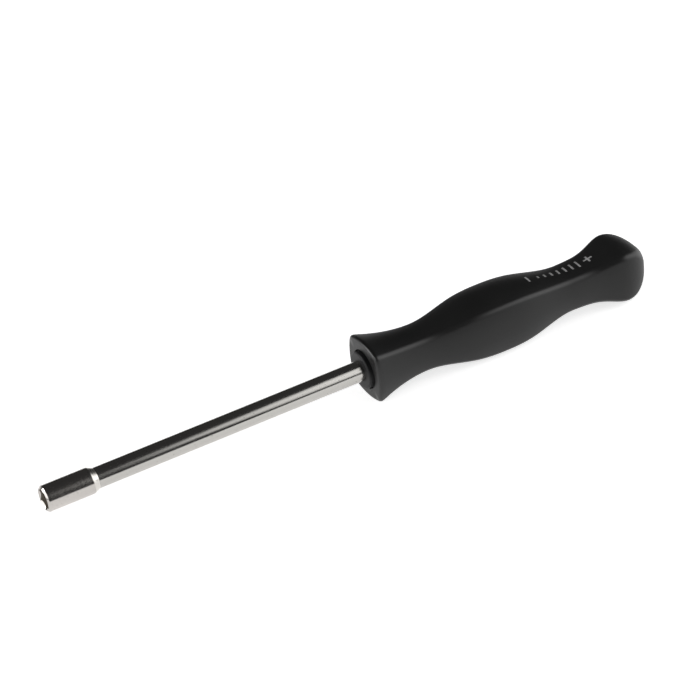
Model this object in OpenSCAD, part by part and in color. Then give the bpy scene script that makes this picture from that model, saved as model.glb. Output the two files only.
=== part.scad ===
// Hexagon-socket adjuster for the mixture screws of small carburetors.
// A plated steel bar carries a turned socket at one end and a moulded handle at the other.
// X runs along the bar. The socket's mouth is at X = 0 and faces -X, and +Z is the handle's upper face.

/* [Socket] */
// Width across the flats of the hexagon
hex_af = 5.5; // [4:0.1:5.6]
// Depth of the hexagon from the mouth
hex_depth = 9.5; // [5:0.1:10]
// Diameter of the lead-in bevel where it meets the mouth
lead_in_d = 6.55; // [6.45:0.05:6.55]
// Outer diameter of the socket
socket_d = 7.6; // [7.6:0.1:12]
// Length of the socket's straight barrel
barrel_len = 13.7; // [12:0.1:25]
// Length of the cone that runs down to the bar
cone_len = 1.7; // [0.5:0.1:5]
// Wall between the hexagon's floor and the bar's spigot
web_t = 1.1; // [0.6:0.1:2]
// Bevel round the outer edge of the mouth
mouth_break = 0.5; // [0.1:0.05:0.5]

/* [Bar] */
// Diameter of the bar
shaft_d = 6; // [4.8:0.1:7]
// Bright length from the socket's mouth to the handle's front face
blade_len = 98; // [60:1:200]
// Width of the shoulder that the socket's back face seats on
shoulder_w = 0.6; // [0.4:0.05:1]
// Bevel round the end of the spigot and the end of the tang
bar_break = 0.4; // [0.1:0.05:0.6]
// Depth of the bar inside the handle
tang_depth = 72; // [45:1:76]
// Thickness of the tang across its two flats
tang_flats = 4.6; // [3.5:0.1:4.7]
// Length of the two flats
flat_len = 30; // [15:1:40]

/* [Handle core] */
// Diameter of the round nose that shows at the front of the handle
nose_d = 11; // [10.6:0.1:13]
// How far the nose stands out of the handle's front face
nose_proud = 1.3; // [0.5:0.1:3]
// How deep the nose sits in the handle's front face
nose_seat = 5; // [2:0.5:8]
// Radius of the nose's rounded rim
nose_round = 0.6; // [0.2:0.1:1]
// Wall of the core round the bar
core_wall = 1.4; // [1:0.1:1.8]
// Plastic behind the end of the tang
core_end = 5; // [3:0.5:10]
// Width of each rib that locks the grip to the core
rib_w = 2; // [1:0.1:3]
// Height of each rib above the core
rib_h = 0.6; // [0.3:0.1:0.8]
// How far the ribs stop short of the core's end
rib_short = 1; // [0.5:0.5:3]
// Width of the ring groove that holds the grip endways
groove_w = 4; // [2:0.5:8]
// Depth of the ring groove
groove_depth = 0.6; // [0.3:0.1:0.8]

/* [Grip lengths] */
// From the front face to the front waist
front_len = 17.3; // [12:0.1:25]
// From the front waist to the belly
rise_len = 24.1; // [18:0.1:35]
// From the belly to the rear waist
fall_len = 24.1; // [18:0.1:35]
// From the rear waist to the rear flare
flare_len = 17.1; // [12:0.1:22]
// From the rear flare to the end of the dome
dome_len = 8.9; // [6:0.1:12]

/* [Grip widths] */
// Half-width at the front face, before its lip is rounded
front_half = 9.1; // [8.5:0.1:12]
// Half-width at the front waist
waist_half = 6.1; // [6:0.1:8]
// Half-width at the belly
belly_half = 8.9; // [8:0.1:12]
// Half-width at the rear waist
rear_waist_half = 6; // [6:0.1:8]
// Half-width at the rear flare
rear_half = 8.7; // [8:0.1:12]

/* [Grip section] */
// Radius of the bow across each of the four faces
face_r = 20; // [16:0.5:30]
// Radius of the rounded edge between two faces
edge_r = 2; // [1:0.1:3]
// Radius of the lip round the front face
lip_r = 1.4; // [0.5:0.1:2.2]
// Gap between the nose and the front face round it
nose_gap = 0.3; // [0.2:0.05:0.5]
// Depth of that gap
nose_gap_depth = 1; // [0.5:0.1:2]

/* [Hidden] */

// A cut runs past the face that it opens by this much
past = 1;
round_fn = 96;
hex_sides = 6;
hex_corner_d = hex_af / cos(180 / hex_sides);
socket_len = barrel_len + cone_len;
spigot_d = shaft_d - 2 * shoulder_w;
spigot_start = hex_depth + web_t;
tang_end = blade_len + tang_depth;
core_d = shaft_d + 2 * core_wall;
core_tail = tang_end + core_end;

waist_at = front_len;
belly_at = waist_at + rise_len;
rear_waist_at = belly_at + fall_len;
rear_at = rear_waist_at + flare_len;
groove_at = blade_len + belly_at - groove_w / 2;

// How each stretch of the grip's outline bends: 2 is a plain parabola and 1 is a plain wave
front_bend = 1.9;
belly_fullness = 1.25;
flare_lag = 1.65;
dome_power = 1.8;
// On a thin stretch the face and edge radii shrink to these shares of the half-width
face_share = 2.4;
edge_share = 0.9;

// Steps of the grip's surface along and across
lip_steps = 5;
wave_steps = 44;
dome_steps = 10;
dome_last_angle = 85;
face_steps = 7;
edge_steps = 5;
sides = 4;
side_points = face_steps + edge_steps;
ring_points = sides * side_points;

plated_steel = [0.78, 0.78, 0.77];
core_black = [0.17, 0.17, 0.18];
grip_black = [0.11, 0.11, 0.12];

// Stands a shape that was made along Z on the X axis, with its base at x
module along_x(x) {
    translate([x, 0, 0])
        rotate([0, 90, 0])
            children();
}

// A turned solid from a half-outline of [radius, length] points
module turned(outline) {
    rotate_extrude($fn = round_fn)
        polygon(outline);
}

// Socket: barrel, cone, hexagon with its lead-in, and the bore for the bar's spigot
module socket_tip() {
    color(plated_steel)
        along_x(0)
            difference() {
                turned([
                    [0, 0],
                    [socket_d / 2 - mouth_break, 0],
                    [socket_d / 2, mouth_break],
                    [socket_d / 2, barrel_len],
                    [shaft_d / 2, socket_len],
                    [0, socket_len],
                ]);
                translate([0, 0, -past])
                    cylinder(d = hex_corner_d, h = hex_depth + past, $fn = hex_sides);
                turned([
                    [0, -past],
                    [lead_in_d / 2 + past, -past],
                    [0, lead_in_d / 2],
                ]);
                translate([0, 0, spigot_start])
                    cylinder(d = spigot_d, h = socket_len - spigot_start + past, $fn = round_fn);
            }
}

// Bar: spigot, shoulder, bright length and a tang with two flats that can't turn in the core
module shaft_form() {
    along_x(0)
        difference() {
            turned([
                [0, spigot_start],
                [spigot_d / 2 - bar_break, spigot_start],
                [spigot_d / 2, spigot_start + bar_break],
                [spigot_d / 2, socket_len],
                [shaft_d / 2, socket_len],
                [shaft_d / 2, tang_end - bar_break],
                [shaft_d / 2 - bar_break, tang_end],
                [0, tang_end],
            ]);
            for (turn = [0, 180])
                rotate([0, 0, turn])
                    translate([-shaft_d, tang_flats / 2, tang_end - flat_len])
                        cube([2 * shaft_d, shaft_d, flat_len + past]);
        }
}

module shaft() {
    color(plated_steel)
        shaft_form();
}

// The nose's half-outline, with a rounded front rim
module nose_outline() {
    nose_len = nose_proud + nose_seat;
    translate([0, nose_round])
        square([nose_d / 2, nose_len - nose_round]);
    square([nose_d / 2 - nose_round, nose_len]);
    translate([nose_d / 2 - nose_round, nose_round])
        circle(r = nose_round, $fn = round_fn);
}

// Outside of the core: round nose, long stem with a ring groove, and a rib towards each edge of the grip
module core_form() {
    stem_start = blade_len + nose_seat;
    stem_len = core_tail - stem_start;
    along_x(blade_len - nose_proud)
        rotate_extrude($fn = round_fn)
            nose_outline();
    difference() {
        union() {
            along_x(stem_start)
                cylinder(d = core_d, h = stem_len, $fn = round_fn);
            for (edge = [0 : sides - 1])
                rotate([45 + 90 * edge, 0, 0])
                    translate([stem_start - past, -rib_w / 2, 0])
                        cube([past + stem_len - rib_short, rib_w, core_d / 2 + rib_h]);
        }
        along_x(groove_at)
            difference() {
                cylinder(r = core_d, h = groove_w, $fn = round_fn);
                translate([0, 0, -past])
                    cylinder(d = core_d - 2 * groove_depth, h = groove_w + 2 * past, $fn = round_fn);
            }
    }
}

// Core: hard plastic moulded round the bar's tang
module handle_core() {
    color(core_black)
        difference() {
            core_form();
            shaft_form();
        }
}

// Grip outline: half-width of the handle at a distance from its front face
function wave(u) = (1 - cos(180 * u)) / 2;
function blend(low, high, u) = low + (high - low) * wave(u);
function fuller(u) = 1 - pow(1 - u, belly_fullness);
function front_flare(x) =
    waist_half + (front_half - waist_half) * pow((waist_at - x) / front_len, front_bend);
function half_width(x) =
    x < waist_at ? front_flare(x)
    : x < belly_at ? blend(waist_half, belly_half, fuller((x - waist_at) / rise_len))
    : x < rear_waist_at ? blend(rear_waist_half, belly_half, fuller((rear_waist_at - x) / fall_len))
    : blend(rear_waist_half, rear_half, pow((x - rear_waist_at) / flare_len, flare_lag));

// Stations along the grip as [distance, half-width]: rounded lip, waved body, dome
lip_stations = [
    for (i = [0 : lip_steps - 1])
        let (turn = 90 * i / lip_steps, x = lip_r * (1 - cos(turn)))
            [x, half_width(x) - lip_r * (1 - sin(turn))]
];
wave_stations = [
    for (i = [0 : wave_steps - 1])
        let (x = lip_r + (rear_at - lip_r) * i / wave_steps)
            [x, half_width(x)]
];
dome_stations = [
    for (i = [0 : dome_steps])
        let (reach = sin(dome_last_angle * i / dome_steps))
            [rear_at + dome_len * reach, rear_half * pow(1 - pow(reach, dome_power), 1 / dome_power)]
];
stations = concat(lip_stations, wave_stations, dome_stations);

// Grip section: a square of half-width h with bowed faces and tangent rounded edges
function face_bow(h) = min(face_r, face_share * h);
function edge_round(h) = min(edge_r, edge_share * h);
function edge_centre(bow, rounding, sink) = (sqrt(2 * pow(bow - rounding, 2) - sink * sink) - sink) / 2;
function side_outline(h) =
    let (
        bow = face_bow(h),
        rounding = edge_round(h),
        sink = bow - h,
        corner = edge_centre(bow, rounding, sink),
        half_angle = atan2(corner, corner + sink),
        face = [
            for (i = [0 : face_steps])
                let (a = half_angle * (2 * i / face_steps - 1))
                    [bow * cos(a) - sink, bow * sin(a)]
        ],
        edge = [
            for (i = [1 : edge_steps - 1])
                let (a = half_angle + (90 - 2 * half_angle) * i / edge_steps)
                    [corner + rounding * cos(a), corner + rounding * sin(a)]
        ]
    )
    concat(face, edge);
function quarter_turn(p, turns) = turns == 0 ? p : quarter_turn([-p[1], p[0]], turns - 1);
function ring(station) =
    let (side = side_outline(station[1]))
    [
        for (turns = [0 : sides - 1], p = side)
            let (q = quarter_turn(p, turns))
                [station[0], q[0], q[1]]
    ];

// Grip surface: one ring of points at each station, joined ring to ring and closed at both ends
module grip_skin() {
    points = [for (station = stations) each ring(station)];
    last_ring = len(stations) - 1;
    skin = [
        for (r = [0 : last_ring - 1], j = [0 : ring_points - 1])
            let (
                a = r * ring_points + j,
                b = r * ring_points + (j + 1) % ring_points,
                c = b + ring_points,
                d = a + ring_points
            )
            each [[a, d, c], [a, c, b]]
    ];
    front_cap = [for (j = [0 : ring_points - 1]) j];
    rear_cap = [for (j = [ring_points - 1 : -1 : 0]) last_ring * ring_points + j];
    translate([blade_len, 0, 0])
        polyhedron(points = points, faces = concat([front_cap], skin, [rear_cap]), convexity = 4);
}

// Grip: waved black moulding over the core, with a fine gap round the nose
module handle_grip() {
    color(grip_black)
        difference() {
            grip_skin();
            core_form();
            along_x(blade_len - past)
                cylinder(d = nose_d + 2 * nose_gap, h = nose_gap_depth + past, $fn = round_fn);
        }
}

socket_tip();
shaft();
handle_core();
handle_grip();
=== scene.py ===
# %% [markdown]
# # Dressing a carburetor adjustment tool
# The object is a small fixed hand driver: a plated steel bar with a hexagon socket on its front end and a
# black moulded handle on its back end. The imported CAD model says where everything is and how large. This
# lesson gives each of its four pieces a finer surface and a finish, and then lights them softly. X runs
# along the tool from the socket's mouth to the handle's end, and Z points up.

# %% Load the frame
import math

import bmesh
import bpy
from mathutils import Matrix, Quaternion, Vector


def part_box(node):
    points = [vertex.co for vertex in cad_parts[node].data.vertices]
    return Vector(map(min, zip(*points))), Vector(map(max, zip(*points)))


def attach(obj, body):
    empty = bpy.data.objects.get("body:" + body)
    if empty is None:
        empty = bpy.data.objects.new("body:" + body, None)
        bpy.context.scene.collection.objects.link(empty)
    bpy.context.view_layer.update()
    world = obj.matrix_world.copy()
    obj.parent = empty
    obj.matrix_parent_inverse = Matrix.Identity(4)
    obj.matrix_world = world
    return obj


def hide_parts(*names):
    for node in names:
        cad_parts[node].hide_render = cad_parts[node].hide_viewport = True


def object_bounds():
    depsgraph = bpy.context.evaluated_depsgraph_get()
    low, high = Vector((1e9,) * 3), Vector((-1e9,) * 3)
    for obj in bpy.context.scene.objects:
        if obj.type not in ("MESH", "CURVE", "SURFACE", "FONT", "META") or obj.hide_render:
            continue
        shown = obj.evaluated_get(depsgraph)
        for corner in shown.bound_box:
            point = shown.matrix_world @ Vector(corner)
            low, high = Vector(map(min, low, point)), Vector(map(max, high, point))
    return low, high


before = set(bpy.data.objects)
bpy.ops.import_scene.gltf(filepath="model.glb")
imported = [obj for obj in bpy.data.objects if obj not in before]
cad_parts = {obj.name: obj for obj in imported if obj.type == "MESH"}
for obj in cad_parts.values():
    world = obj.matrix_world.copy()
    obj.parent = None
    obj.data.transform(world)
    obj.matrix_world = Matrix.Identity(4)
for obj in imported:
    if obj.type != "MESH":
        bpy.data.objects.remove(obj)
cad_low, cad_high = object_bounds()
MM = 0.001
print("CAD box in mm:", [round(side / MM, 2) for side in cad_high - cad_low])

# %% [markdown]
# ## Camera
# The tool was seen through a long lens, from in front, from the left and from above, with the picture
# turned a little so that the tool rises to the right. A camera could be aimed with a constraint, but here
# its three axes are worked out from the viewing angles, because then the turn of the picture is one more
# named angle.

# %% Camera
PICTURE_SIDE = 700
SENSOR_WIDTH = 36.0
focal_pixels = 2878.8
view_azimuth = math.radians(-25.21)
view_elevation = math.radians(33.93)
view_roll = math.radians(-7.23)
view_distance = 800 * MM
view_aim = Vector((97.95, 7.44, 2.41)) * MM

view_back = Vector((
    math.sin(view_azimuth) * math.cos(view_elevation),
    -math.cos(view_azimuth) * math.cos(view_elevation),
    math.sin(view_elevation),
))
view_right = Vector((math.cos(view_azimuth), math.sin(view_azimuth), 0.0))
camera_axes = Matrix((view_right, view_back.cross(view_right), view_back)).transposed()
camera_axes = camera_axes @ Matrix.Rotation(view_roll, 3, "Z")

camera_data = bpy.data.cameras.new("long_lens")
camera_data.sensor_width = SENSOR_WIDTH
camera_data.lens = SENSOR_WIDTH * focal_pixels / PICTURE_SIDE
camera = bpy.data.objects.new("photograph_side", camera_data)
camera.matrix_world = Matrix.Translation(view_aim + view_back * view_distance) @ camera_axes.to_4x4()
bpy.context.scene.collection.objects.link(camera)
bpy.context.scene.camera = camera
print("lens in mm:", round(camera_data.lens, 1))

# %% [markdown]
# ## Nodes and colours
# Each finish below is a small tree of shader nodes. One function adds a node, sets its values and joins
# its inputs, so that every tree reads as a short list. Colours are written as they look on a screen, as
# hex values, and one function turns them into the linear light that the renderer works with.

# %% Node and colour helpers
def linear(hex_colour):
    """Linear RGBA of an sRGB hex colour such as #808080."""
    shares = [int(hex_colour[i:i + 2], 16) / 255 for i in (1, 3, 5)]
    return [s / 12.92 if s <= 0.04045 else ((s + 0.055) / 1.055) ** 2.4 for s in shares] + [1.0]


# A mix or math node has several sockets of one name, so these go by number
MIX_FIRST = 6
MIX_SECOND = 7
MIX_COLOUR = 2


def add_node(tree, kind, settings, links):
    """Adds a node. Settings name inputs or properties, and links give the output that feeds an input."""
    node = tree.nodes.new(kind)
    for name, value in settings.items():
        if isinstance(name, int) or name in node.inputs:
            node.inputs[name].default_value = value
        else:
            setattr(node, name, value)
    for name, output in links.items():
        tree.links.new(output, node.inputs[name])
    return node


def start_material(name):
    """An empty material and its node tree."""
    material = bpy.data.materials.new(name)
    material.use_nodes = True
    material.node_tree.nodes.clear()
    return material, material.node_tree


def finish_material(tree, surface):
    """Joins a shader to the material's output."""
    add_node(tree, "ShaderNodeOutputMaterial", {}, {"Surface": surface.outputs["BSDF"]})


print("grey 50% is", round(linear("#808080")[0], 3), "in linear light")

# %% [markdown]
# ## Floor and light
# A bright bar shows its surroundings more than itself, so the surroundings are built with care. The floor
# is a light table, which stays white round the tool and is the light lower half of the bar. The room
# above it is dark, which is the bar's dark upper half. A round softbox at the front right is the light
# band along the bar and the sheen on the handle's long edge. A low panel on the right lights the socket's
# cone, and two on the left light the socket's rim and the handle's front. One picture of a whole room
# could light the tool too, but with panels each reflection can be put where it belongs.

# %% Floor
FLOOR_SIDE = 8.0
floor_mesh = bpy.data.meshes.new("floor")
half_floor = FLOOR_SIDE / 2
corner_signs = ((-1, -1), (1, -1), (1, 1), (-1, 1))
floor_corners = [(x * half_floor, y * half_floor, cad_low.z) for x, y in corner_signs]
floor_mesh.from_pydata(floor_corners, [], [(0, 1, 2, 3)])
floor = bpy.data.objects.new("floor", floor_mesh)
bpy.context.scene.collection.objects.link(floor)

# A light table's top is matte white acrylic that also glows from below, so shadows on it stay faint
lit_acrylic, tree = start_material("matte_white_acrylic_lit_from_below")
table_top = add_node(
    tree, "ShaderNodeBsdfPrincipled",
    {
        "Base Color": linear("#f2f2f2"), "Roughness": 0.9, "Specular IOR Level": 0.1,
        "Emission Color": linear("#ffffff"), "Emission Strength": 0.7,
    }, {},
)
finish_material(tree, table_top)
floor_mesh.materials.append(lit_acrylic)
print("floor height in mm:", round(cad_low.z / MM, 2))

# %% Light panels
tool_middle = (cad_low + cad_high) / 2
AREA_SHARE = {"RECTANGLE": 1.0, "ELLIPSE": math.pi / 4}


def add_panel(name, shape, azimuth, elevation, roll, distance, width, height, radiance):
    """A soft panel that faces the tool. Azimuth 0 is the front (-Y) and 90 the right (+X), in degrees."""
    turn = math.radians(azimuth)
    rise = math.radians(elevation)
    away = Vector((math.sin(turn) * math.cos(rise), -math.cos(turn) * math.cos(rise), math.sin(rise)))
    data = bpy.data.lights.new(name, "AREA")
    data.shape = shape
    data.size = width
    data.size_y = height
    # A soft panel's watts are pi times its radiance times its area
    data.energy = math.pi * radiance * AREA_SHARE[shape] * width * height
    panel = bpy.data.objects.new(name, data)
    panel.location = tool_middle + away * distance
    panel.rotation_mode = "QUATERNION"
    panel.rotation_quaternion = away.to_track_quat("Z", "Y") @ Quaternion((0, 0, 1), math.radians(roll))
    bpy.context.scene.collection.objects.link(panel)
    print(name, "watts:", round(data.energy, 2))


print("panels face a point in mm:", [round(side / MM, 1) for side in tool_middle])

# %% Softbox and panels
# A softbox isn't even, so it is three ovals a step apart, each with its share of the size and its radiance
softbox_width = 1.3
softbox_height = 1.0
softbox_distance = 0.9
softbox_step = 0.01
softbox_ovals = (("softbox_rim", 1.0, 0.95), ("softbox_body", 0.82, 0.6), ("softbox_heart", 0.46, 0.35))
for i, (name, share, radiance) in enumerate(softbox_ovals):
    add_panel(
        name, "ELLIPSE", azimuth=53, elevation=32, roll=45, distance=softbox_distance - i * softbox_step,
        width=softbox_width * share, height=softbox_height * share, radiance=radiance,
    )
add_panel(
    "low_right_panel", "ELLIPSE", azimuth=88, elevation=12, roll=0, distance=0.8,
    width=0.8, height=0.4, radiance=1.4,
)
add_panel(
    "left_panel", "ELLIPSE", azimuth=-94, elevation=24, roll=0, distance=1.5,
    width=2.3, height=1.1, radiance=2.2,
)
add_panel(
    "back_left_panel", "RECTANGLE", azimuth=-126, elevation=22, roll=0, distance=1.2,
    width=0.4, height=0.4, radiance=8.0,
)

# %% Surroundings
surroundings = bpy.data.worlds.new("dark_surroundings")
surroundings.use_nodes = True
surroundings.node_tree.nodes["Background"].inputs["Color"].default_value = linear("#3c3c3c")
bpy.context.scene.world = surroundings
bpy.context.scene.view_settings.view_transform = "Standard"
print("surroundings:", surroundings.name)

# %% [markdown]
# ## Shells from rings
# Every piece of this tool lies along one axis, so each is drawn as a row of closed rings and skinned from
# ring to ring. A spun curve or a stack of modifiers could do the round pieces, but not the hexagon, the
# flats or the handle's squarish sections. With rings, one function makes them all. Corners that are
# broken or rounded on the real piece get a true arc here, because that narrow strip is what catches the
# light.

# %% Outlines
ROUND_POINTS = 144
ARC_STEPS = 6
HOLD = 0.15
LONG_STRETCH = 4 * HOLD
SHARP_EDGE = math.radians(28)
round_angles = [math.tau * i / ROUND_POINTS for i in range(ROUND_POINTS)]


def held(points):
    """Adds a point close to both ends of each long stretch, so that a corner's shading stays there."""
    result = points[:1]
    for start, end in zip(points, points[1:]):
        step = (end - start).normalized() * HOLD
        if (end - start).length > LONG_STRETCH:
            result += [start + step, end - step]
        result.append(end)
    return result


def rounded(corners):
    """Points of a half-outline. Each corner is (x, radius, rounding), and any rounding becomes an arc."""
    points = []
    for i, (x, radius, rounding) in enumerate(corners):
        here = Vector((x, radius))
        if rounding == 0:
            points.append(here)
            continue
        to_last = (Vector(corners[i - 1][:2]) - here).normalized()
        to_next = (Vector(corners[i + 1][:2]) - here).normalized()
        half_corner = to_last.angle(to_next) / 2
        centre = here + (to_last + to_next).normalized() * rounding / math.sin(half_corner)
        first = (here + to_last * rounding / math.tan(half_corner) - centre).normalized()
        last = (here + to_next * rounding / math.tan(half_corner) - centre).normalized()
        points += [centre + first.slerp(last, step / ARC_STEPS) * rounding for step in range(ARC_STEPS + 1)]
    return held(points)


print("points in a round ring:", ROUND_POINTS)


# %% Rings and shells
def ring(x, radius_at, angles=round_angles):
    """A closed ring round the tool's axis. radius_at gives the radius at an angle from +Y towards +Z."""
    return [(x, radius_at(a) * math.cos(a), radius_at(a) * math.sin(a)) for a in angles]


def turned(corners):
    """Round rings of a half-outline."""
    return [ring(x, lambda a, r=radius: r) for x, radius in rounded(corners)]


def skin(name, rings, materials):
    """One closed, smooth shell over rings of points in mm. A ring of one point closes an end."""
    points = [Vector(point) * MM for each in rings for point in each]
    faces = []
    start = 0
    for this, following in zip(rings, rings[1:]):
        count = max(len(this), len(following))
        middle = start + len(this)
        for i in range(count):
            j = (i + 1) % count
            near = [start] if len(this) == 1 else [start + i, start + j]
            far = [middle] if len(following) == 1 else [middle + j, middle + i]
            faces.append(near + far)
        start = middle
    mesh = bpy.data.meshes.new(name)
    mesh.from_pydata(points, [], faces)
    shell = bmesh.new()
    shell.from_mesh(mesh)
    bmesh.ops.recalc_face_normals(shell, faces=shell.faces)
    shell.to_mesh(mesh)
    shell.free()
    mesh.shade_smooth()
    mesh.set_sharp_from_angle(angle=SHARP_EDGE)
    for material in materials:
        mesh.materials.append(material)
    piece = bpy.data.objects.new(name, mesh)
    bpy.context.scene.collection.objects.link(piece)
    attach(piece, "root")
    print(name, "faces:", len(mesh.polygons))
    return piece


print("sharp from degrees:", round(math.degrees(SHARP_EDGE)))

# %% [markdown]
# ## Plated steel
# The socket and the bar are steel with bright nickel plate. Plate copies the surface below it: the bar
# was drawn through a die, which leaves fine lines along it, and the socket was turned, which leaves fine
# rings round it. Both have a few tiny pits. A noise that is squeezed in one direction makes such lines.
# They go into the roughness and into a very low bump, because a mirror shows a line as a change of gloss
# and not as a change of colour. The hexagon was pushed out with a broach, and the plate hardly reaches
# into it, so its walls are duller.

# %% Plate over lines
# Nearly all values of a noise lie between these two
NOISE_LOW = 0.3
NOISE_HIGH = 0.7


def per_metre(*sizes):
    """How many times each size in mm fits in a metre, which is the scale of a pattern of that size."""
    return [1 / (size * MM) for size in sizes]


def plated_steel(name, colour, pit_colour, line_scale, roughness_low, roughness_high):
    """Bright plate over lines. line_scale gives the lines per metre along X, Y and Z."""
    pit_size = 0.5
    pit_share = 0.27
    pit_rim = 0.04
    line_depth = 0.02
    material, tree = start_material(name)
    place = add_node(tree, "ShaderNodeTexCoord", {}, {}).outputs["Object"]
    squeezed = add_node(tree, "ShaderNodeMapping", {"Scale": line_scale}, {"Vector": place})
    lines = add_node(
        tree, "ShaderNodeTexNoise", {"Scale": 1.0, "Detail": 3.0}, {"Vector": squeezed.outputs["Vector"]},
    )
    gloss = add_node(
        tree, "ShaderNodeMapRange",
        {"From Min": NOISE_LOW, "From Max": NOISE_HIGH, "To Min": roughness_low, "To Max": roughness_high},
        {"Value": lines.outputs["Fac"]},
    )
    pits = add_node(
        tree, "ShaderNodeTexNoise", {"Scale": 1 / (pit_size * MM), "Detail": 2.0}, {"Vector": place},
    )
    pitted = add_node(
        tree, "ShaderNodeMapRange",
        {"From Min": pit_share, "From Max": pit_share + pit_rim, "To Min": 1.0, "To Max": 0.0},
        {"Value": pits.outputs["Fac"]},
    )
    tint = add_node(
        tree, "ShaderNodeMix",
        {"data_type": "RGBA", MIX_FIRST: linear(colour), MIX_SECOND: linear(pit_colour)},
        {"Factor": pitted.outputs["Result"]},
    )
    relief = add_node(
        tree, "ShaderNodeBump", {"Strength": 0.12, "Distance": line_depth * MM},
        {"Height": lines.outputs["Fac"]},
    )
    surface = add_node(
        tree, "ShaderNodeBsdfPrincipled", {"Metallic": 1.0},
        {
            "Base Color": tint.outputs[MIX_COLOUR],
            "Roughness": gloss.outputs["Result"],
            "Normal": relief.outputs["Normal"],
        },
    )
    finish_material(tree, surface)
    return material


print("a line 0.2 mm wide has the scale", round(per_metre(0.2)[0]))

# %% Plated finishes
# Real drawing lines are a few hundredths of a millimetre wide, so they are drawn coarser to show at all
DRAWN_LINE = 0.25
DRAWN_LENGTH = 40.0
drawn_plate = plated_steel(
    "nickel_plated_drawn_steel", "#b4b2ae", "#6f6b66",
    per_metre(DRAWN_LENGTH, DRAWN_LINE, DRAWN_LINE), roughness_low=0.12, roughness_high=0.2,
)
# Turning marks, also drawn coarser than the real feed of about a twentieth of a millimetre
TURNED_LINE = 0.2
TURNED_LENGTH = 6.0
turned_plate = plated_steel(
    "nickel_plated_turned_steel", "#b8b4b0", "#706c67",
    per_metre(TURNED_LINE, TURNED_LENGTH, TURNED_LENGTH), roughness_low=0.13, roughness_high=0.22,
)
# The cone is cut last with a form tool and its plate is a little softer. Its colour is lighter than the
# rest of the plate: a painted highlight that brightens the softbox's reflection on it
cone_plate_lightened_for_highlight = plated_steel(
    "nickel_plate_lightened_for_cone_highlight", "#ccc9c4", "#85817b",
    per_metre(TURNED_LINE, TURNED_LENGTH, TURNED_LENGTH), roughness_low=0.22, roughness_high=0.3,
)
# A broach leaves lines along the hexagon's walls
BROACH_LINE = 0.3
BROACH_LENGTH = 8.0
broached_steel = plated_steel(
    "broached_steel", "#b2aca2", "#5c5852",
    per_metre(BROACH_LENGTH, BROACH_LINE, BROACH_LINE), roughness_low=0.45, roughness_high=0.6,
)
print("plated finishes:", [each.name for each in (drawn_plate, turned_plate, cone_plate_lightened_for_highlight, broached_steel)])

# %% [markdown]
# ## Socket
# The socket is a short turned sleeve: a straight barrel, a cone down to the bar, a bevel round the mouth,
# and a hexagon with a wide conical lead-in. The cone of the lead-in cuts the six flats in six arcs. No
# boolean is needed for that: a point on the hexagon's wall lies on the cone where its depth is the
# lead-in's radius less its own.

# %% Socket sizes
_, socket_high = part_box("socket_tip")
bar_low, bar_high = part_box("shaft")
socket_end = socket_high.x / MM
socket_r = socket_high.z / MM
bar_r = bar_high.z / MM
spigot_start = bar_low.x / MM
shoulder_width = 0.6
spigot_r = bar_r - shoulder_width
hex_across_flats = 5.5
hex_depth = 9.5
corner_blunt = 0.06
hex_corner_r = hex_across_flats / math.sqrt(3) - corner_blunt
drill_point = 0.6
lead_in_r = 3.29
mouth_bevel = 0.5
cone_length = 1.7
cone_start = socket_end - cone_length
foot_step = 0.05
edge_break = 0.04
bevel_round = 0.2
cone_round = 0.7
print("hexagon's corner radius in mm:", round(hex_corner_r, 2))


# %% Socket
def hex_radius(angle):
    """Radius of the hexagon's wall, with a corner up and a corner down and each corner a little blunt."""
    sixth = math.tau / 6
    from_flat = (angle - math.tau / 4) % sixth - sixth / 2
    return min(hex_across_flats / 2 / math.cos(from_flat), hex_corner_r)


hex_floor = ring(hex_depth, hex_radius)
hex_brink = [(lead_in_r - math.hypot(y, z), y, z) for _, y, z in hex_floor]
socket_outline = [
    (lead_in_r - hex_corner_r, hex_corner_r, 0),
    (0.0, lead_in_r, edge_break),
    (mouth_bevel, socket_r, bevel_round),
    (cone_start, socket_r, cone_round),
    (socket_end, bar_r + foot_step, edge_break),
    (socket_end, spigot_r, 0),
    (spigot_start, spigot_r, 0),
]
socket_rings = [[(hex_depth + drill_point, 0, 0)], hex_floor, hex_brink]
socket_rings += turned(socket_outline)[1:] + [[(spigot_start, 0, 0)]]
socket = skin("socket_sleeve", socket_rings, [turned_plate, broached_steel, cone_plate_lightened_for_highlight])
inner_faces = 2 * ROUND_POINTS
for face in socket.data.polygons[:inner_faces]:
    face.material_index = 1
# The cone's faces get the lightened plate, a painted highlight
for face in socket.data.polygons[inner_faces:]:
    if cone_start * MM < face.center.x < socket_end * MM:
        face.material_index = 2
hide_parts("socket_tip")

# %% [markdown]
# ## Bar
# The bar is drawn round steel. Its front end is a thinner spigot inside the socket, and its back end is a
# tang with two flats inside the handle. A cylinder would do for what shows, but the shoulder's broken
# edge makes the dark line at the socket's foot, so the bar is turned from its outline too, and the flats
# are cut by holding Y back.

# %% Bar
bar_end = bar_high.x / MM
flat_length = 30.0
flats_half = 2.3
bar_break = 0.4
shoulder_break = 0.12
flats_from = bar_end - flat_length
step_length = 0.01
bar_outline = [
    (spigot_start, 0, 0),
    (spigot_start, spigot_r, bar_break),
    (socket_end, spigot_r, 0),
    (socket_end, bar_r, shoulder_break),
    (flats_from, bar_r, 0),
    (flats_from + step_length, bar_r, 0),
    (bar_end, bar_r, bar_break),
    (bar_end, 0, 0),
]


def flattened(points):
    """A ring of the tang, with Y held back to its flats, which narrow with the rings of the end face."""
    reach = max(z for _, _, z in points)
    limit = flats_half * min(1.0, reach / (bar_r - bar_break))
    return [(x, max(-limit, min(limit, y)), z) for x, y, z in points]


bar_rings = [each if each[0][0] <= flats_from else flattened(each) for each in turned(bar_outline)[1:-1]]
bar_rings = [[(spigot_start, 0, 0)]] + bar_rings + [[(bar_end, 0, 0)]]
bar = skin("drawn_bar", bar_rings, [drawn_plate])
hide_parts("shaft")

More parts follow.
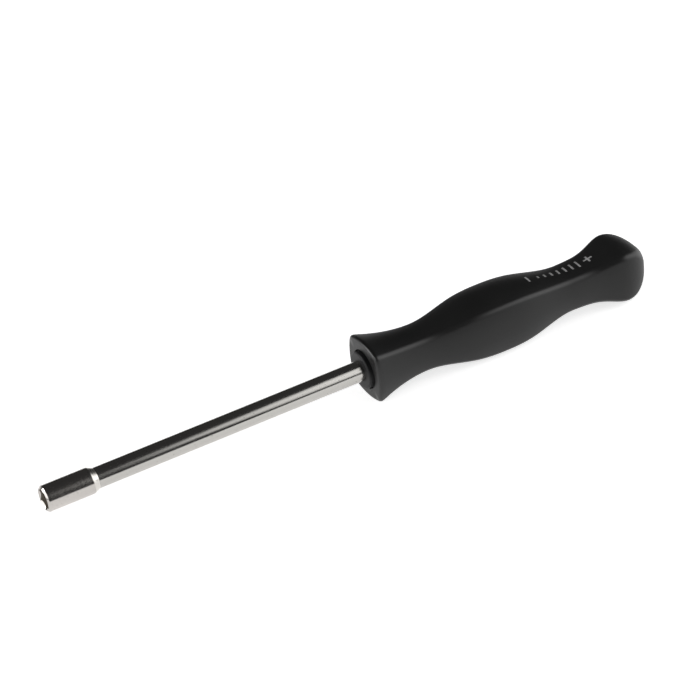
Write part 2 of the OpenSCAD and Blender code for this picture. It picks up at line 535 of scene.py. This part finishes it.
# %% [markdown]
# ## Handle plastics
# The handle is black moulded plastic. The grip has the fine, even bloom of a mould that was eroded by
# sparks, so it has a soft satin sheen. Where hands rub the edges and the front lip, the grain is worn
# down and a thin polished skin lies over it, which is a coat whose weight follows the rub. The core's
# nose is a harder and duller plastic. A single flat black would look like a hole in the picture: the
# sheen, its slow changes and the fine grain are what make it read as plastic.

# %% Moulded plastic
cloud_size = 14.0
grain_depth = 0.012
# The polished skin that hands leave on the edges
polish_share = 0.3
polish_roughness = 0.35


def moulded_plastic(name, colour, cloud_colour, grain, grain_mirror, roughness_low, roughness_high, rubbed):
    """Black plastic with a fine grain. rubbed is how much less rough the rubbed edges are.

    grain_mirror is the mirrored light that the grain's tiny pits leave. Without pits it is 0.5.
    """
    material, tree = start_material(name)
    place = add_node(tree, "ShaderNodeTexCoord", {}, {}).outputs["Object"]
    clouds = add_node(
        tree, "ShaderNodeTexNoise", {"Scale": 1 / (cloud_size * MM), "Detail": 4.0}, {"Vector": place},
    )
    sparks = add_node(
        tree, "ShaderNodeTexNoise", {"Scale": 1 / (grain * MM), "Detail": 2.0}, {"Vector": place},
    )
    tint = add_node(
        tree, "ShaderNodeMix",
        {"data_type": "RGBA", MIX_FIRST: linear(colour), MIX_SECOND: linear(cloud_colour)},
        {"Factor": clouds.outputs["Fac"]},
    )
    sheen = add_node(
        tree, "ShaderNodeMapRange",
        {"From Min": NOISE_LOW, "From Max": NOISE_HIGH, "To Min": roughness_low, "To Max": roughness_high},
        {"Value": clouds.outputs["Fac"]},
    )
    rub = add_node(tree, "ShaderNodeAttribute", {"attribute_name": "rub"}, {})
    polished = add_node(
        tree, "ShaderNodeMath", {"operation": "MULTIPLY_ADD", 1: -rubbed},
        {0: rub.outputs["Fac"], 2: sheen.outputs["Result"]},
    )
    relief = add_node(
        tree, "ShaderNodeBump", {"Strength": 0.2, "Distance": grain_depth * MM},
        {"Height": sparks.outputs["Fac"]},
    )
    polish = add_node(
        tree, "ShaderNodeMath", {"operation": "MULTIPLY", 1: polish_share}, {0: rub.outputs["Fac"]},
    )
    surface = add_node(
        tree, "ShaderNodeBsdfPrincipled",
        {"IOR": 1.5, "Specular IOR Level": grain_mirror, "Coat Roughness": polish_roughness},
        {
            "Base Color": tint.outputs[MIX_COLOUR],
            "Roughness": polished.outputs["Value"],
            "Coat Weight": polish.outputs["Value"],
            "Normal": relief.outputs["Normal"],
        },
    )
    finish_material(tree, surface)
    return material


print("the sheen changes over about", cloud_size, "mm")

# %% Handle finishes
# The eroded grain is near a tenth of a millimetre, so it is drawn coarser to show at all
GRIP_GRAIN = 0.4
CORE_GRAIN = 0.5
grip_plastic = moulded_plastic(
    "spark_grained_black_polypropylene", "#141414", "#191919", GRIP_GRAIN,
    grain_mirror=0.33, roughness_low=0.44, roughness_high=0.5, rubbed=0.15,
)
core_plastic = moulded_plastic(
    "matte_moulded_black_nylon", "#181819", "#1e1e1f", CORE_GRAIN,
    grain_mirror=0.25, roughness_low=0.5, roughness_high=0.58, rubbed=0.0,
)
print("plastics:", grip_plastic.name, core_plastic.name)

# %% [markdown]
# ## Core
# The core is moulded round the tang. Only its round nose shows, a little proud of the handle's front,
# with a softly rounded rim and a broken edge where the bar goes in. Inside the handle it is a stem with
# four ribs and a ring groove, which lock the grip to it.

# %% Core sizes
core_low, core_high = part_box("handle_core")
grip_low, grip_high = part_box("handle_grip")
grip_start = grip_low.x / MM
nose_start = core_low.x / MM
nose_r = core_high.z / MM
core_end = core_high.x / MM
nose_round = 0.6
nose_seat = 5.0
nose_back = grip_start + nose_seat
bore_break = 0.08
core_wall = 1.4
stem_r = bar_r + core_wall
rib_half = 1.0
rib_height = 0.6
rib_top = stem_r + rib_height
rib_short = 1.0
rib_end = core_end - rib_short
rib_slope = 0.3
groove_depth = 0.6
groove_r = stem_r - groove_depth
groove_at = 41.4
groove_middle = grip_start + groove_at
groove_half = 2.0
# Keeps a division by a sine safe in the middle of a rib
LEAST_SINE = 0.01
print("core runs in mm from", round(nose_start, 1), "to", round(core_end, 1))


# %% Core
def stem_radius(angle):
    """Radius of the stem, with a rib towards each of the grip's four edges."""
    quarter = math.tau / 4
    from_rib = abs(angle % quarter - quarter / 2)
    rib = min(rib_top / math.cos(from_rib), rib_half / max(math.sin(from_rib), LEAST_SINE))
    return max(stem_r, rib)


def stem_rings(angles):
    """Rings of the core's outside from the back of its nose to its end."""
    rings = [ring(nose_back, lambda a: nose_r, angles), ring(nose_back, stem_radius, angles)]
    for x, radius_at in (
        (groove_middle - groove_half, stem_radius),
        (groove_middle - groove_half, lambda a: groove_r),
        (groove_middle + groove_half, lambda a: groove_r),
        (groove_middle + groove_half, stem_radius),
        (rib_end, stem_radius),
        (rib_end + rib_slope, lambda a: stem_r),
        (core_end, lambda a: stem_r),
    ):
        rings.append(ring(x, radius_at, angles))
    return rings + [[(core_end, 0, 0)]]


nose_outline = [
    (bar_end, bar_r, 0),
    (nose_start, bar_r, bore_break),
    (nose_start, nose_r, nose_round),
    (nose_back, nose_r, 0),
]
core_rings = [[(bar_end, 0, 0)]] + turned(nose_outline)[:-1] + stem_rings(round_angles)
core = skin("core_nose_and_stem", core_rings, [core_plastic])
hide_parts("handle_core")

# %% [markdown]
# ## Grip
# The grip swells and narrows along its length and is squarish across, with four bowed faces and rounded
# edges. It could be a subdivided cage, but then no width would be exact. Here each section is drawn from
# its half-width with true arcs, and the half-width follows a formula along the handle: a flare at the
# front, a waist, a belly, a second waist, and a flare that ends in a dome. Along that flare the faces
# grow flatter, so the end looks squarer, and over the dome the edges fade until its tip is round.

# %% Grip outline
grip_end = grip_high.x / MM
front_len = 17.3
rise_len = 24.1
fall_len = 24.1
flare_len = 17.1
waist_at = front_len
belly_at = waist_at + rise_len
rear_waist_at = belly_at + fall_len
rear_at = rear_waist_at + flare_len
dome_len = grip_end - grip_start - rear_at
front_half = 9.1
waist_half = 6.1
belly_half = 8.9
rear_waist_half = 6.0
rear_half = 8.4
front_power = 1.9
belly_power = 1.25
flare_power = 1.82


def blend(low, high, share):
    """A soft wave from low to high."""
    return low + (high - low) * (1 - math.cos(math.pi * share)) / 2


def fuller(share):
    """Bends a share so that the belly stays full for longer."""
    return 1 - (1 - share) ** belly_power


def half_width(x):
    """Half-width of the grip at a distance from its front face."""
    if x < waist_at:
        return waist_half + (front_half - waist_half) * ((waist_at - x) / front_len) ** front_power
    if x < belly_at:
        return blend(waist_half, belly_half, fuller((x - waist_at) / rise_len))
    if x < rear_waist_at:
        return blend(rear_waist_half, belly_half, fuller((rear_waist_at - x) / fall_len))
    return blend(rear_waist_half, rear_half, ((x - rear_waist_at) / flare_len) ** flare_power)


print("belly width in mm:", round(2 * half_width(belly_at), 1))

# %% Grip sections
FACE_STEPS = 16
EDGE_STEPS = 12
face_r = 20.0
face_share = 2.4
edge_r = 2.0
edge_share = 0.9
tip_power = 3.0
flare_flatness = 0.8


def along_dome(x):
    """How far up the dome a place is, from 0 at its foot to 1 at its tip."""
    return max(0.0, (x - rear_at) / dome_len)


def edge_rounding(x, half):
    """Radius of an edge, which grows over the dome until the sections near its tip are almost round."""
    most = edge_share * half
    least = min(edge_r, most)
    return least + (most - least) * along_dome(x) ** tip_power


def face_bow(x, half):
    """Radius of the bow across a face, which grows flatter along the rear flare."""
    along_flare = min(1.0, max(0.0, (x - rear_waist_at) / flare_len))
    return min(face_r, face_share * half) * (1 + flare_flatness * along_flare)


def side_of_section(x, half):
    """One bowed face and one rounded edge of a section, as (out, across, rub) rows."""
    bow = face_bow(x, half)
    rounding = edge_rounding(x, half)
    sink = bow - half
    corner = (math.sqrt(2 * (bow - rounding) ** 2 - sink ** 2) - sink) / 2
    half_angle = math.atan2(corner, corner + sink)
    rows = []
    for i in range(FACE_STEPS + 1):
        a = half_angle * (2 * i / FACE_STEPS - 1)
        rows.append((bow * math.cos(a) - sink, bow * math.sin(a), 0.0))
    for i in range(1, EDGE_STEPS):
        a = half_angle + (math.pi / 2 - 2 * half_angle) * i / EDGE_STEPS
        rub = math.sin(math.pi * i / EDGE_STEPS) * (1 - along_dome(x))
        rows.append((corner + rounding * math.cos(a), corner + rounding * math.sin(a), rub))
    return rows


def section(x, half, least_rub):
    """A closed ring of the grip at a distance from its front face, and how much each point is rubbed."""
    points = []
    rubs = []
    for turn in range(4):
        for out, across, rub in side_of_section(x, half):
            y, z = ((out, across), (-across, out), (-out, -across), (across, -out))[turn]
            points.append((grip_start + x, y, z))
            rubs.append(max(rub, least_rub))
    return points, rubs


print("points in a section:", len(section(belly_at, belly_half, 0.0)[0]))

# %% Grip stations
LIP_STEPS = 8
WAVE_STEPS = 120
DOME_STEPS = 24
lip_r = 1.4
lip_rub = 0.8
dome_power = 1.95

# Each station is a distance from the front face, a half-width and how much hands rub it all round
stations = [(0.0, half_width(0.0) - lip_r - HOLD, 0.0)]
for i in range(LIP_STEPS):
    turn = math.pi / 2 * i / LIP_STEPS
    x = lip_r * (1 - math.cos(turn))
    stations.append((x, half_width(x) - lip_r * (1 - math.sin(turn)), lip_rub * math.sin(2 * turn)))
for i in range(WAVE_STEPS):
    x = lip_r + (rear_at - lip_r) * i / WAVE_STEPS
    stations.append((x, half_width(x), 0.0))
for i in range(DOME_STEPS):
    reach = math.sin(math.pi / 2 * i / DOME_STEPS)
    half = rear_half * (1 - reach ** dome_power) ** (1 / dome_power)
    stations.append((rear_at + dome_len * reach, half, 0.0))
sections = [section(*each) for each in stations]
print("grip stations:", len(stations))

# %% Grip
gap_width = 0.3
gap_r = nose_r + gap_width
gap_depth = 1.0
gap_edge = 0.12
face_reach = 1.0
front_angles = [math.atan2(z, y) for _, y, z in sections[0][0]]
gap_outline = [
    (grip_start, gap_r + face_reach, 0),
    (grip_start, gap_r, gap_edge),
    (grip_start + gap_depth, gap_r, 0),
    (grip_start + gap_depth, nose_r, 0),
]
gap_rings = [ring(x, lambda a, r=radius: r, front_angles) for x, radius in rounded(gap_outline)[1:]]
inside = list(reversed(gap_rings + stem_rings(front_angles)))
outside = [points for points, _ in sections] + [[(grip_end, 0, 0)]]
grip = skin("waved_grip", inside + outside, [grip_plastic])

rub_values = [0.0] * sum(len(each) for each in inside)
rub_values += [rub for _, rubs in sections for rub in rubs] + [0.0]
rub_layer = grip.data.attributes.new("rub", "FLOAT", "POINT")
rub_layer.data.foreach_set("value", rub_values)
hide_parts("handle_grip")

# %% [markdown]
# ## Printed scale
# The upper face carries a small light grey print near the handle's end. Here it is a plain turning scale:
# a minus, a row of growing ticks and a plus. A picture on the surface would need an image, so each stroke
# is a thin film of ink instead, cut from the same formula as the face, which makes it follow the bow
# without any fitting.

# %% Ink strokes
ink_film = 0.03
ink_cell = 0.4
stroke = 0.55
mark_start = 152.0
tick_count = 7
tick_pitch = 2.2
tick_short = 1.0
tick_tall = 3.2
sign_span = 2.8
sign_gap = 3.4


def face_height(x, y):
    """Height of the grip's upper face above the axis, at a place along and across the tool."""
    half = half_width(x - grip_start)
    bow = face_bow(x - grip_start, half)
    return half - bow + math.sqrt(bow ** 2 - y ** 2)


def ink_stroke(points, faces, x, y, length, width):
    """Adds one stroke, centred on a place of the upper face, as a fine grid of cells."""
    along = max(1, round(length / ink_cell))
    across = max(1, round(width / ink_cell))
    start = len(points)
    for i in range(along + 1):
        for j in range(across + 1):
            here_x = x + length * (i / along - 0.5)
            here_y = y + width * (j / across - 0.5)
            points.append(Vector((here_x, here_y, face_height(here_x, here_y) + ink_film / 2)) * MM)
    for i in range(along):
        for j in range(across):
            corner = start + i * (across + 1) + j
            faces.append((corner, corner + across + 1, corner + across + 2, corner + 1))


print("ink film in mm:", ink_film)

# %% Printed scale
ink_points = []
ink_faces = []
ticks_from = mark_start + sign_gap
plus_at = ticks_from + (tick_count - 1) * tick_pitch + sign_gap
arm = (sign_span - stroke) / 2
ink_stroke(ink_points, ink_faces, mark_start, 0.0, stroke, sign_span)
for i in range(tick_count):
    tall = tick_short + (tick_tall - tick_short) * i / (tick_count - 1)
    ink_stroke(ink_points, ink_faces, ticks_from + i * tick_pitch, 0.0, stroke, tall)
ink_stroke(ink_points, ink_faces, plus_at, 0.0, stroke, sign_span)
for side in (-1, 1):
    ink_stroke(ink_points, ink_faces, plus_at + side * (arm + stroke) / 2, 0.0, arm, stroke)
ink_mesh = bpy.data.meshes.new("turning_scale")
ink_mesh.from_pydata(ink_points, [], ink_faces)
turning_scale = bpy.data.objects.new("turning_scale", ink_mesh)
bpy.context.scene.collection.objects.link(turning_scale)
film = turning_scale.modifiers.new("ink_film", "SOLIDIFY")
film.thickness = ink_film * MM
film.offset = 0.0
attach(turning_scale, "root")
print("scale runs in mm from", mark_start, "to", round(plus_at, 1))

# %% Grey ink
# Pad-printed ink is thin and matte, and lets the black show through in specks
ink_speck = 0.25
full_cover = 0.5
grey_ink, tree = start_material("pad_printed_grey_ink")
place = add_node(tree, "ShaderNodeTexCoord", {}, {}).outputs["Object"]
specks = add_node(
    tree, "ShaderNodeTexNoise", {"Scale": 1 / (ink_speck * MM), "Detail": 2.0}, {"Vector": place},
)
cover = add_node(
    tree, "ShaderNodeMapRange", {"From Min": NOISE_LOW, "From Max": full_cover},
    {"Value": specks.outputs["Fac"]},
)
tint = add_node(
    tree, "ShaderNodeMix",
    {"data_type": "RGBA", MIX_FIRST: linear("#4a4a4a"), MIX_SECOND: linear("#a9a9a9")},
    {"Factor": cover.outputs["Result"]},
)
ink = add_node(
    tree, "ShaderNodeBsdfPrincipled", {"Roughness": 0.55}, {"Base Color": tint.outputs[MIX_COLOUR]},
)
finish_material(tree, ink)
ink_mesh.materials.append(grey_ink)
print("ink:", grey_ink.name)
